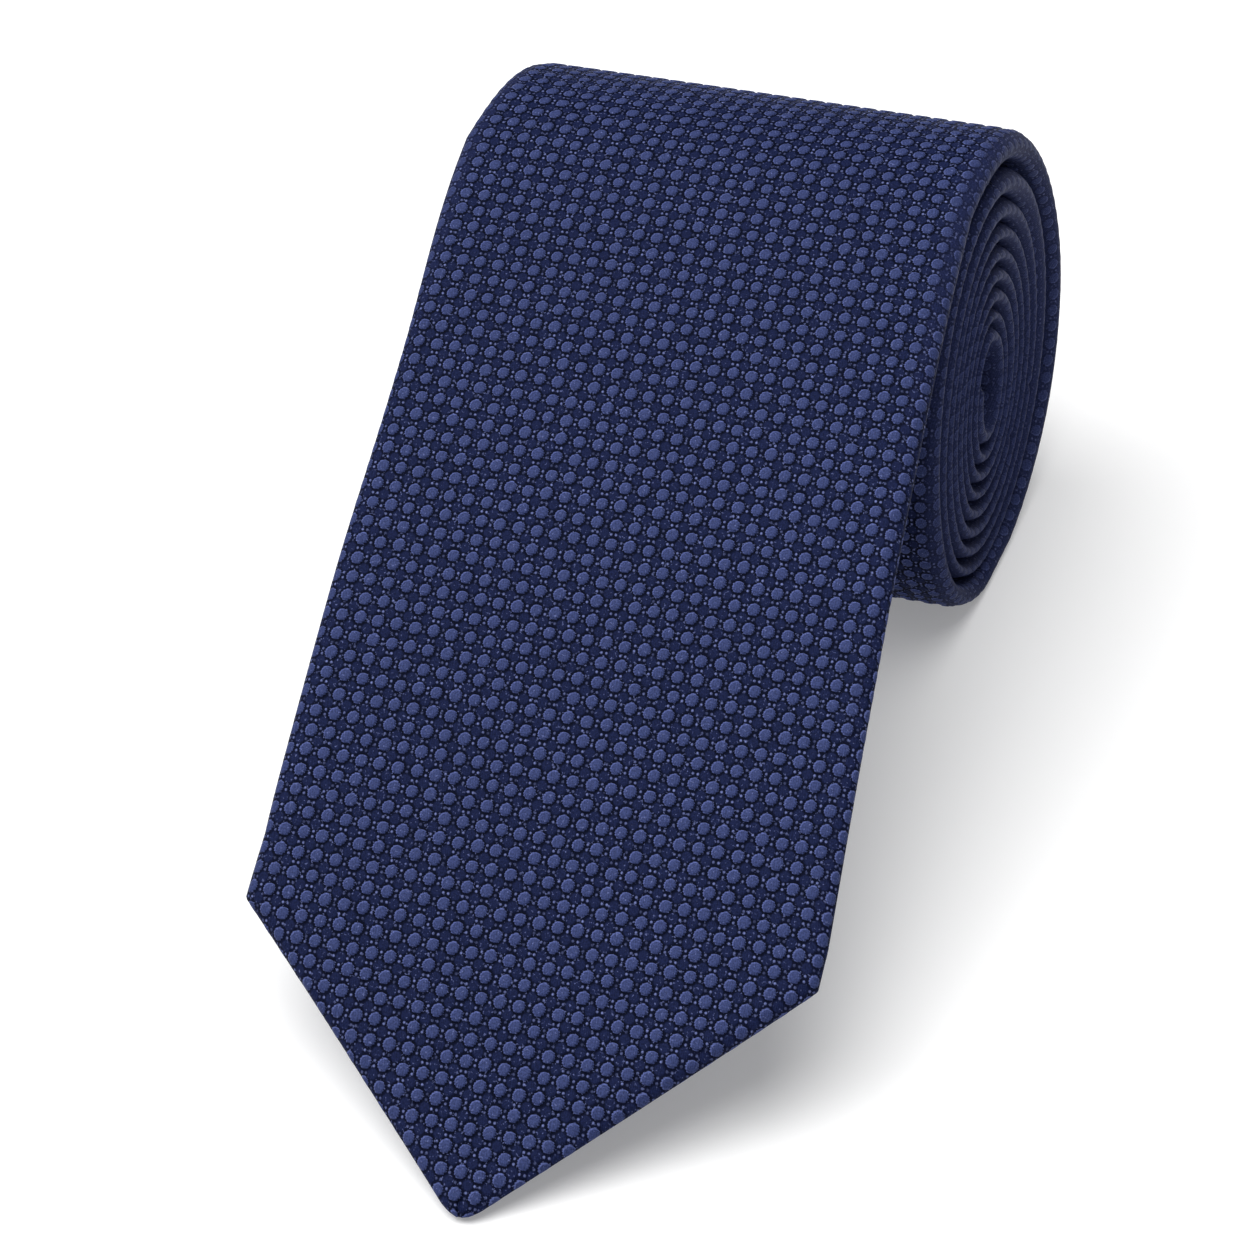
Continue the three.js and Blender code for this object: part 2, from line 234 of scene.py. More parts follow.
def roll_point(m, turns):
    """The middle of the cloth, m turns in from the outside of a roll of that many turns."""
    loose = np.exp(-m / LOOSE_TURNS)
    across = EYE_HALF_WIDTH + PITCH_WIDTH * (turns - m) + LOOSE_WIDTH * loose
    up = EYE_HALF_HEIGHT + PITCH_HEIGHT * (turns - m) + LOOSE_HEIGHT * loose
    pressed = FRONT_PRESS * (np.exp(-m / PRESS_TURNS) - np.exp(-m / PRESS_STARTS))
    angle = 2 * np.pi * m - LEAVE_ANGLE
    y = pressed + across * np.sin(angle)
    z = CORE_SAG * np.exp(-m / SAG_TURNS) + up * np.cos(angle)
    return y, z


def line_length(y, z):
    return np.hypot(np.diff(y), np.diff(z)).sum()


def normals(y, z):
    """Outward directions of a line that starts at the blade's point."""
    ty, tz = np.gradient(y), np.gradient(z)
    size = np.hypot(ty, tz)
    return -tz / size, ty / size


class Path:
    """The outer face of the tie as a line in the YZ plane, by length from the blade's point."""

    def __init__(self, hinge_y, hinge_z):
        rolled = TIE_LENGTH - FREE_LENGTH
        step = 1 / STEPS_PER_TURN

        def roll(turns):
            return roll_point(np.arange(0, turns, step), turns)

        turns = bisect(lambda n: line_length(*roll(n)) > rolled, 1, 40)
        m = np.arange(0, turns, step)
        ry, rz = roll_point(m, turns)
        # The outer face, with the start of the roll at the CAD's hinge.
        slope = math.atan2(rz[1] - rz[0], ry[1] - ry[0])
        ny, nz = normals(ry, rz)
        oy, oz = ry + HALF * ny, rz + HALF * nz
        ry, rz = ry + hinge_y - oy[0], rz + hinge_z - oz[0]
        oy, oz = oy + hinge_y - oy[0], oz + hinge_z - oz[0]
        fy, fz = self.free(hinge_y, hinge_z, slope)
        self.first = len(fy) - 1
        y = np.concatenate([fy[::-1][:-1], oy])
        z = np.concatenate([fz[::-1][:-1], oz])
        face = np.concatenate([[0], np.cumsum(np.hypot(np.diff(y), np.diff(z)))])
        face += FREE_LENGTH - face[self.first]
        along = np.concatenate([[0], np.cumsum(np.hypot(np.diff(ry), np.diff(rz)))])
        along *= rolled / along[-1]
        self.s = np.concatenate([face[: self.first], FREE_LENGTH + along])
        self.face = face
        self.ny, self.nz = normals(y, z)
        self.thick = self.thicknesses(m, ry, rz)
        swell = ROLL_SWELL * smooth(self.s, *SWELL_COMES) * (1 - smooth(self.s, *SWELL_GOES))
        # It fades where the cloth faces the table.
        swell = swell * smooth(self.nz, -1, -0.4)
        foot = FOOT_REACH * (1 - ramp(z, 0, FOOT_HEIGHT)) ** 1.5 * smooth(self.s, *FOOT_COMES)
        foot = foot * (1 - smooth(y, y[self.first :].mean() - 8, y.max()))
        self.y = y + swell * self.ny - foot
        self.z = np.maximum(z + swell * self.nz, LEAST_HEIGHT)

    def free(self, y0, z0, slope0):
        """The free blade, straightening from the slope of the roll until its tip is on the table."""
        step = (FREE_LENGTH - FREE_START) / FREE_STEPS

        def run(end):
            at = (np.arange(FREE_STEPS) + 0.5) * step
            slope = end - (end - slope0) * np.exp(-at / STRAIGHTEN)
            y = y0 - np.concatenate([[0], np.cumsum(np.cos(slope) * step)])
            z = z0 - np.concatenate([[0], np.cumsum(np.sin(slope) * step)])
            return y, z, slope[-1]

        def sunk(end):
            y, z, slope = run(end)
            return z[-1] - TIP_THICKNESS * math.cos(slope) < TIP_CLEARANCE

        end = bisect(sunk, slope0 / 2, math.radians(80))
        y, z, _ = run(end)
        return y, z

    def thicknesses(self, m, ry, rz):
        """Thickness of the folded cloth: in the roll, what the distance to the next turn allows."""
        per = STEPS_PER_TURN
        ny, nz = self.ny[self.first :], self.nz[self.first :]
        inner = len(m) - per
        pitch_y = (ry[:inner] - ry[per:]) * ny[:inner]
        pitch_z = (rz[:inner] - rz[per:]) * nz[:inner]
        pitch = pitch_y + pitch_z
        pitch = np.concatenate([pitch, pitch[-per:]])
        thick = np.minimum(pitch * TURN_FILL, THICKEST_TURN)
        thick += EYE_FILL * smooth(m, *(m[-1] - turns for turns in EYE_FILL_TURNS))
        free_s = self.s[: self.first]
        free = mix(TIP_THICKNESS, FREE_THICKNESS, smooth(free_s, 0, TIP_THINS))
        joining = smooth(free_s, FREE_LENGTH - THICKNESS_JOINS, FREE_LENGTH)
        free = mix(free, thick[0], joining)
        return np.concatenate([free, thick])

    def at(self, s):
        """y, z, outward y, outward z, thickness and face length at a length s."""
        return [
            np.interp(s, self.s, a)
            for a in (self.y, self.z, self.ny, self.nz, self.thick, self.face)
        ]


# ---- The outline of the folded tie ----


def width_at(s):
    free = mix(BLADE_WIDTH, ROLL_WIDTH, ramp(s, LEFT_SHOULDER, FREE_LENGTH))
    blade = mix(ROLL_WIDTH, NECK_WIDTH, ramp(s, FREE_LENGTH, BLADE_SEAM_AT))
    tail = mix(NECK_WIDTH, TAIL_WIDTH, ramp(s, TAIL_SEAM_AT, TIE_LENGTH - TAIL_POINT))
    return np.where(s < FREE_LENGTH, free, np.where(s < BLADE_SEAM_AT, blade, tail))


def edges_at(s):
    """Left and right edges, measured from the roll's own middle."""
    s = np.asarray(s, float)
    width = width_at(s)
    middle = SIDE_DRIFT * (FREE_LENGTH - s) / FREE_LENGTH
    tip = SIDE_DRIFT + TIP_OFFSET
    left_free = mix(tip - TIP_LEFT, middle - width / 2, ramp(s, 0, LEFT_SHOULDER))
    right_free = mix(tip + TIP_RIGHT, middle + width / 2, ramp(s, 0, RIGHT_SHOULDER))
    flush = ROLL_WIDTH / 2
    tail_tip = flush - TAIL_WIDTH / 2
    point = ramp(s, TIE_LENGTH, TIE_LENGTH - TAIL_POINT)
    left_roll = mix(tail_tip - TAIL_TIP, flush - width, point)
    right_roll = mix(tail_tip + TAIL_TIP, flush, point)
    free = s < FREE_LENGTH
    left, right = np.where(free, left_free, left_roll), np.where(free, right_free, right_roll)
    fuller = sum(size * smooth(s, begins, ends) for size, begins, ends in FULLER)
    fuller = fuller * (1 - smooth(s, *FULLER_GOES))
    right_fuller = RIGHT_FULLER * smooth(s, *RIGHT_FULLER_COMES)
    right = right + right_fuller * (1 - smooth(s, *RIGHT_FULLER_GOES))
    bow = POINT_BOW * np.sin(np.pi * ramp(s, 0, POINT_BOW_LENGTH))
    return left - fuller - bow, right - bow


def opening_at(s):
    """Half of the opening between the folded edges at the back."""
    s = np.asarray(s, float)
    left, right = edges_at(s)
    half_width = (right - left) / 2
    closed = SEAM_GAP / 2

    def opening(from_end, shoulder, meet):
        at_point = np.maximum(half_width - HEM_AT_POINT, closed)
        at_side = np.maximum(half_width - HEM_AT_SIDE, closed)
        narrowing = mix(at_side, closed, ramp(from_end, shoulder, meet))
        return np.where(from_end <= shoulder, at_point, narrowing)

    blade = opening(s, LEFT_SHOULDER, BLADE_MEET_AT)
    tail = opening(TIE_LENGTH - s, TAIL_POINT, TAIL_MEET_AT)
    return np.where(s < TIE_LENGTH / 2, blade, tail)


def cell_across(x, s):
    """Places in cells of the weave. Its columns run along the free blade's left edge and the
    roll's flush edge."""
    return (x - DRIFT_SLOPE * np.maximum(FREE_LENGTH - s, 0)) / CELL_ACROSS


# ---- Mesh building ----


def make_object(name, data):
    made = bpy.data.objects.new(name, data)
    bpy.context.scene.collection.objects.link(made)
    return made


def grid_faces(rows, cols, closed):
    """Quads of a grid of points, with columns that may join up into a tube."""
    across = cols if closed else cols - 1
    r, c = np.meshgrid(np.arange(rows - 1), np.arange(across), indexing="ij")
    a = (r * cols + c).ravel()
    b = (r * cols + (c + 1) % cols).ravel()
    quads = np.stack([a, b, b + cols, a + cols], 1)
    if not closed:
        return quads
    # Each end of a tube is closed by quads across its ring.
    k = np.arange(cols // 2 - 1)
    cap = np.stack([k, cols - 1 - k, cols - 2 - k, k + 1], 1)
    return np.concatenate([quads, cap, cap[:, ::-1] + (rows - 1) * cols])


def build_mesh(name, grids, bake=False, pressed=None):
    """One mesh from several grids. Each is (points in mm, cloth coordinates, closed or not).
    bake adds a map of the whole sheet, pressed a map of how flat the weave is pressed."""
    points, faces, cloth, sheet = [], [], [], []
    base = 0
    for grid, uv, closed in grids:
        rows, cols = grid.shape[:2]
        quads = grid_faces(rows, cols, closed)
        points.append(grid.reshape(-1, 3))
        cloth.append(uv.reshape(-1, 2)[quads].reshape(-1, 2))
        if bake:
            u, v = np.meshgrid(*(np.linspace(0.002, 0.998, count) for count in (cols, rows)))
            sheet.append(np.stack([u, v], -1).reshape(-1, 2)[quads].reshape(-1, 2))
        faces.append(quads + base)
        base += rows * cols
    points, faces = np.concatenate(points), np.concatenate(faces)
    mesh = bpy.data.meshes.new(name)
    mesh.vertices.add(len(points))
    mesh.vertices.foreach_set("co", (points * MM).astype(np.float32).ravel())
    mesh.loops.add(faces.size)
    mesh.loops.foreach_set("vertex_index", faces.astype(np.int32).ravel())
    mesh.polygons.add(len(faces))
    mesh.polygons.foreach_set("loop_start", np.arange(0, faces.size, 4, dtype=np.int32))
    mesh.update(calc_edges=True)
    mesh.polygons.foreach_set("use_smooth", np.ones(len(faces), bool))
    maps = [("Cloth", cloth)] + ([("OFBake", sheet)] if bake else [])
    if pressed is not None:
        flat = np.stack([pressed, np.zeros_like(pressed)], -1).reshape(-1, 2)
        maps.append(("Pressed", [flat[faces].reshape(-1, 2)]))
    for label, values in maps:
        layer = mesh.uv_layers.new(name=label)
        layer.data.foreach_set("uv", np.concatenate(values).astype(np.float32).ravel())
    mesh.validate()
    return make_object(name, mesh)


def grid_normals(grid):
    down, right = np.gradient(grid, axis=0), np.gradient(grid, axis=1)
    n = np.cross(right, down)
    return n / np.maximum(np.linalg.norm(n, axis=-1, keepdims=True), 1e-9)


def grid_area(grid):
    """Area in square metres of a grid in millimetres."""
    a = grid[1:, 1:] - grid[:-1, :-1]
    b = grid[1:, :-1] - grid[:-1, 1:]
    return np.linalg.norm(np.cross(a, b), axis=-1).sum() / 2 * MM * MM


def weave_height(u, v):
    """Relief of the jacquard, from 0 in its gaps to about 1 on its dots."""
    i, j = np.round(u), np.round(v)
    du, dv = u - i, v - j
    au, av = np.abs(du), np.abs(dv)
    du = du - DOT_SHIFT * np.sin(1.7 * i + 4.1 * j)
    dv = dv - DOT_SHIFT * np.sin(3.1 * i - 2.3 * j)
    dot = np.sqrt(np.maximum(du**2 + dv**2 - 2 * DOT_SLANT * du * dv, 0))
    dot = dot - DOT_GROWTH * np.sin(2.9 * i + 1.3 * j)
    height = (1 - smooth(dot, DOT_RADIUS - 0.1, DOT_RADIUS + 0.04)) * (1 - 0.9 * dot**2)
    pick_a = np.hypot(au - 0.5, av - PICK_APART)
    pick_b = np.hypot(au - PICK_APART, av - 0.5)
    pick = np.minimum(pick_a, pick_b)
    height += PICK_RISE * (1 - smooth(pick, 0.03, PICK_RADIUS + 0.05))
    patch = np.hypot(au - 0.5, av - 0.5)
    return height + PATCH_RISE * (1 - smooth(patch, 0.16, 0.3))


hinge_at = frame["joints"][0]["pos_m"]
path = Path(hinge_at[1] / MM, hinge_at[2] / MM)
middle_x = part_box("blade_shell_rolled")[1].x / MM - ROLL_WIDTH / 2


def to_frame(x, out, s):
    """Points in the frame, in mm, from places across, out from the face and along the tie."""
    y, z, ny, nz, _, _ = path.at(s)
    return np.stack(np.broadcast_arrays(x + middle_x, y + out * ny, z + out * nz), -1)


def edge_slopes(s):
    """How fast each edge runs sideways, smoothed over the shoulders."""
    reach = 1.2
    left_a, right_a = edges_at(s - reach)
    left_b, right_b = edges_at(s + reach)
    return (left_b - left_a) / (2 * reach), (right_b - right_a) / (2 * reach)


def side_profile(hand, s, counts):
    """One folded side: from the start of its fold round it, in along the back and round the hem.
    Returns places across and out, and places on the flat cloth across and along."""
    fold_count, flap_count, hem_count = counts
    thick = path.at(s)[4][:, None]
    left, right = edges_at(s)
    edge = (right if hand > 0 else left)[:, None]
    slope = edge_slopes(s)[1 if hand > 0 else 0][:, None]
    stretch = np.sqrt(1 + slope**2)
    middle = ((left + right) / 2)[:, None]
    half_width = (right - left)[:, None] / 2
    reach = np.minimum(FOLD_REACH * stretch, half_width * 0.98)
    start = edge - hand * reach
    opening = np.minimum(opening_at(s)[:, None], half_width - reach * 0.6)
    flap_end = middle + hand * opening
    # Round the side.
    turn = np.linspace(0, np.pi, fold_count + 1)[None, :]
    fold_x = start + hand * reach * np.sin(turn)
    fold_out = -thick / 2 * (1 - np.cos(turn))
    # Back along the flap to where the hem turns in.
    share = np.linspace(0, 1, flap_count + 1)[None, 1:]
    flap_x = mix(start, flap_end, share)
    flap_out = np.broadcast_to(-thick, flap_x.shape)
    # Round the hem and a little way back between the layers.
    bend = np.linspace(0, np.pi, hem_count)[None, 1:]
    hem_x = flap_end - hand * HEM_RADIUS * np.sin(bend)
    hem_out = -thick + HEM_RADIUS * (1 - np.cos(bend))
    back = np.minimum(HEM_RETURN, np.abs(start - flap_end) * 0.8)
    back_x = flap_end + hand * back
    back_out = -thick + 2 * HEM_RADIUS
    x = np.concatenate([fold_x, flap_x, hem_x, back_x], 1)
    out = np.concatenate([fold_out, flap_out, hem_out, back_out], 1)
    # Distance over the cloth from the start of the fold, square to the folded edge.
    step = np.hypot(np.diff(x, axis=1) / stretch, np.diff(out, axis=1))
    over = np.concatenate([np.zeros((len(s), 1)), np.cumsum(step, 1)], 1)
    shift = (x - start) * slope / stretch
    normal_x, normal_s = hand / stretch, -hand * slope / stretch
    cloth_x = start + shift * slope / stretch + over * normal_x
    cloth_s = shift / stretch + over * normal_s
    return x, out, cloth_x, cloth_s


def shell_grid(s, front, counts):
    """Skin of the folded tie: left hem, back and fold, front, then the right side."""
    sides = {hand: side_profile(hand, s, counts) for hand in (-1, 1)}
    left_start, right_start = sides[-1][0][:, :1], sides[1][0][:, :1]
    front_x = mix(left_start, right_start, front[None, :])
    flat = np.zeros_like(front_x)
    parts = [
        [a[:, :0:-1] for a in sides[-1]],
        [front_x, flat, front_x, flat],
        [a[:, 1:] for a in sides[1]],
    ]
    x, out, cloth_x, cloth_s = (np.concatenate(c, 1) for c in zip(*parts))
    thick, face = (a[:, None] for a in path.at(s)[4:])
    return x, out, thick, cloth_x, cloth_s + face


def round_ends(s, x, out, thick, ends):
    """Closes the tie towards its points with a rounded end."""
    for end, reach in ends:
        near = ramp(np.abs(s - end), 0, reach)[:, None]
        near = np.sqrt(1 - (1 - near) ** 2)
        x = mix(x.mean(1, keepdims=True), x, 0.35 + 0.65 * near)
        out = mix(-thick / 2, out, np.maximum(near, 0.03))
    return x, out


def shell(name, s_from, s_to, rows_per_cell, front, counts, press, ends=(), seams=()):
    """A woven piece of the folded tie. press says how flat its sides are pressed, at the start of
    the free blade and on the roll. Returns the object, its flat size and its flat area."""
    rows = int(round((s_to - s_from) / CELL_ALONG * rows_per_cell)) + 1
    s = np.linspace(s_from, s_to, rows)
    x, out, thick, cloth_x, cloth_s = shell_grid(s, front, counts)
    x, out = round_ends(s, x, out, thick, ends)
    grid = to_frame(x, out, s[:, None])
    area = grid_area(grid)
    u = cell_across(cloth_x, cloth_s)
    v = cloth_s / CELL_ALONG
    normal = grid_normals(grid)
    fold, flap, hem = counts
    cols = np.arange(x.shape[1])
    inner = flap + hem - 2
    side = np.minimum(cols, len(cols) - 1 - cols)
    strength = smooth(side, inner, inner + 3)[None, :]
    # Round the folded sides the weave is pressed flatter: bend is 0 where the fold starts at the
    # front and 1 where it ends at the back.
    bend = (flap + hem - 1 + fold - side) / fold
    fades = 1 - smooth(bend, 0.8, 1.25)
    begins = -0.6 * press[1] ** 4
    share = mix(*press, smooth(s, FREE_LENGTH - 50, SHELL_SEAM_AT))
    pressed = smooth(bend, begins, begins + 0.5) * fades * share[:, None]
    lift = (weave_height(u, v) - RELIEF_MIDDLE) * DOT_HEIGHT * strength
    lift *= 1 - PRESSED_RELIEF * np.maximum(pressed, smooth(bend, 0.0, 0.4) * fades)
    lift += UNEVEN * np.sin(cloth_s / 23.0 + x / 31.0) * strength * ramp(s, 0, 20)[:, None]
    for seam in seams:
        lift -= SEAM_DIP * np.exp(-(((s - seam) / SEAM_DIP_REACH) ** 2))[:, None] * strength
    grid = grid + normal * lift[..., None]
    grid[..., 2] = np.maximum(grid[..., 2], 0.0)
    made = build_mesh(name, [(grid, np.stack([u, v], -1), False)], bake=True, pressed=pressed)
    width = np.hypot(np.diff(x, axis=1), np.diff(out, axis=1)).sum(1).max()
    return made, (width * MM, (s_to - s_from) * MM), area


def tube(points, radius):
    """A thread along points, closed at both ends."""
    points = np.asarray(points, float)
    n = len(points)
    along = np.gradient(points, axis=0)
    along /= np.linalg.norm(along, axis=1, keepdims=True)
    up = np.zeros_like(along)
    up[:, 0] = 1.0
    flat = np.abs(along[:, 0]) > 0.9
    up[flat] = (0.0, 0.3, 0.95)
    side = np.cross(along, up)
    side /= np.linalg.norm(side, axis=1, keepdims=True)
    top = np.cross(side, along)
    angle = np.linspace(0, 2 * np.pi, THREAD_SIDES, endpoint=False)
    # It tapers over the last two points of each end.
    ends = np.minimum(np.arange(n), n - 1 - np.arange(n))
    size = radius * np.sqrt(np.clip((ends + 0.04) / 2, 0.02, 1))[:, None, None]
    ring = side[:, None] * np.cos(angle)[None, :, None]
    ring = ring + top[:, None] * np.sin(angle)[None, :, None]
    grid = points[:, None] + ring * size
    length = np.concatenate([[0], np.cumsum(np.linalg.norm(np.diff(points, axis=0), axis=1))])
    uv = np.stack(np.broadcast_arrays(angle[None, :] / (2 * np.pi), length[:, None]), -1)
    return grid, uv, True


def smooth_line(points, count):
    """A line of count points along the given ones, with its corners rounded off."""
    points = np.asarray(points, float)
    for _ in range(4):
        q = points[:-1] * 0.75 + points[1:] * 0.25
        r = points[:-1] * 0.25 + points[1:] * 0.75
        cut = np.stack([q, r], 1).reshape(-1, 3)
        points = np.concatenate([points[:1], cut, points[-1:]])
    size = np.concatenate([[0], np.cumsum(np.linalg.norm(np.diff(points, axis=0), axis=1))])
    at = np.linspace(0, size[-1], count)
    return np.stack([np.interp(at, size, points[:, k]) for k in range(3)], 1)


def band(s, x_low, x_high, out_low, out_high, cols, wave=0.0):
    """A flat closed band of cloth. Its limits may vary along it, and the out limits also across it."""
    s = np.asarray(s, float)
    t = np.linspace(0, 1, cols)
    half_turn = np.linspace(0, np.pi, 7)[1:-1]
    x_low = np.broadcast_to(np.asarray(x_low, float), s.shape)[:, None]
    x_high = np.broadcast_to(np.asarray(x_high, float), s.shape)[:, None]

    def level(f):
        f = np.asarray(f, float)
        return f if f.ndim == 2 else np.broadcast_to(f.reshape(-1, 1), (len(s), cols))

    low, high = level(out_low), level(out_high)
    ripple = wave * np.sin(s[:, None] * 0.9 + t[None, :] * 5.0)
    low, high = low + ripple, high + ripple
    x = mix(x_low, x_high, t[None, :])
    middle, half = (low + high) / 2, (high - low) / 2
    right_mid, right_half = middle[:, -1:], half[:, -1:]
    left_mid, left_half = middle[:, :1], half[:, :1]
    right_x = x_high + right_half * np.sin(half_turn)[None, :]
    right_out = right_mid + right_half * np.cos(half_turn)[None, :]
    left_x = x_low - left_half * np.sin(half_turn)[None, :]
    left_out = left_mid - left_half * np.cos(half_turn)[None, :]
    xs = np.concatenate([x, right_x, x[:, ::-1], left_x], 1)
    outs = np.concatenate([high, right_out, low[:, ::-1], left_out], 1)
    round_right = np.broadcast_to(right_mid, right_x.shape)
    round_left = np.broadcast_to(left_mid, left_x.shape)
    centre = np.concatenate([middle, round_right, middle[:, ::-1], round_left], 1)
    # Both ends are closed and rounded.
    row = np.arange(len(s))[:, None]
    near = np.minimum(row, len(s) - 1 - row)
    outs = mix(centre, outs, np.sqrt(np.clip((near + 0.02) / 2.0, 0.01, 1)))
    grid = to_frame(xs, outs, s[:, None])
    uv = np.stack([xs, np.broadcast_to(s[:, None], xs.shape)], -1)
    return grid, uv, True


# ---- Materials ----


def srgb(r, g, b):
    """Linear colour from 8-bit sRGB."""
    c = [v / 255 for v in (r, g, b)]
    return tuple(v / 12.92 if v <= 0.04045 else ((v + 0.055) / 1.055) ** 2.4 for v in c) + (1.0,)


class Shader:
    """A node material, written as calls that each add one node and give back its result."""

    def __init__(self, name, **constants):
        self.material = bpy.data.materials.new(name)
        self.material.use_nodes = True
        self.tree = self.material.node_tree
        self.surface = self.tree.nodes["Principled BSDF"]
        for socket, value in constants.items():
            self.surface.inputs[socket.replace("_", " ")].default_value = value

    def put(self, socket, value):
        """Links a node's result to a socket, or sets the socket to a number or colour."""
        if isinstance(value, bpy.types.NodeSocket):
            self.tree.links.new(value, socket)
        else:
            socket.default_value = value

    def math(self, operation, *values, clamp=False):
        """One arithmetic node. Values are numbers or other nodes' results."""
        node = self.tree.nodes.new("ShaderNodeMath")
        node.operation = operation
        node.use_clamp = clamp
        for socket, value in zip(node.inputs, values):
            self.put(socket, value)
        return node.outputs[0]

    def add(self, first, *others, clamp=False):
        for other in others:
            first = self.math("ADD", first, other, clamp=clamp)
        return first

    def minus(self, a, b):
        return self.math("SUBTRACT", a, b)

    def times(self, a, b):
        return self.math("MULTIPLY", a, b)

    def wave(self, value, per_unit):
        """A sine with so many waves per unit of the value."""
        return self.math("SINE", self.times(value, 2 * math.pi * per_unit))

    def step(self, value, low, high, to_low=0.0, to_high=1.0):
        node = self.tree.nodes.new("ShaderNodeMapRange")
        node.interpolation_type = "SMOOTHSTEP"
        for socket, v in zip(node.inputs, (value, low, high, to_low, to_high)):
            self.put(socket, v)
        return node.outputs[0]

    def blend(self, share, a, b, mode="MIX"):
        node = self.tree.nodes.new("ShaderNodeMix")
        node.data_type = "RGBA"
        node.blend_type = mode
        self.put(node.inputs[0], share)
        self.put(node.inputs[6], a)
        self.put(node.inputs[7], b)
        return node.outputs[2]

    def map(self, name="Cloth"):
        """The two values of a named map, and both as one vector."""
        node = self.tree.nodes.new("ShaderNodeUVMap")
        node.uv_map = name
        split = self.tree.nodes.new("ShaderNodeSeparateXYZ")
        self.tree.links.new(node.outputs[0], split.inputs[0])
        return split.outputs[0], split.outputs[1], node.outputs[0]

    def grey(self, value):
        node = self.tree.nodes.new("ShaderNodeCombineColor")
        for socket in node.inputs:
            self.put(socket, value)
        return node.outputs[0]

    def noise(self, vector, scale, detail=3.0):
        node = self.tree.nodes.new("ShaderNodeTexNoise")
        self.put(node.inputs["Vector"], vector)
        node.inputs["Scale"].default_value = scale
        node.inputs["Detail"].default_value = detail
        return node.outputs["Fac"]

    def place(self):
        return self.tree.nodes.new("ShaderNodeTexCoord").outputs["Object"]

    def finish(self, colour, roughness, height, distance, strength):
        """Gives the surface its colour, roughness and bump, and returns the material."""
        self.put(self.surface.inputs["Base Color"], colour)
        self.put(self.surface.inputs["Roughness"], roughness)
        bump = self.tree.nodes.new("ShaderNodeBump")
        bump.inputs["Distance"].default_value = distance
        bump.inputs["Strength"].default_value = strength
        self.put(bump.inputs["Height"], height)
        self.tree.links.new(bump.outputs[0], self.surface.inputs["Normal"])
        return self.material


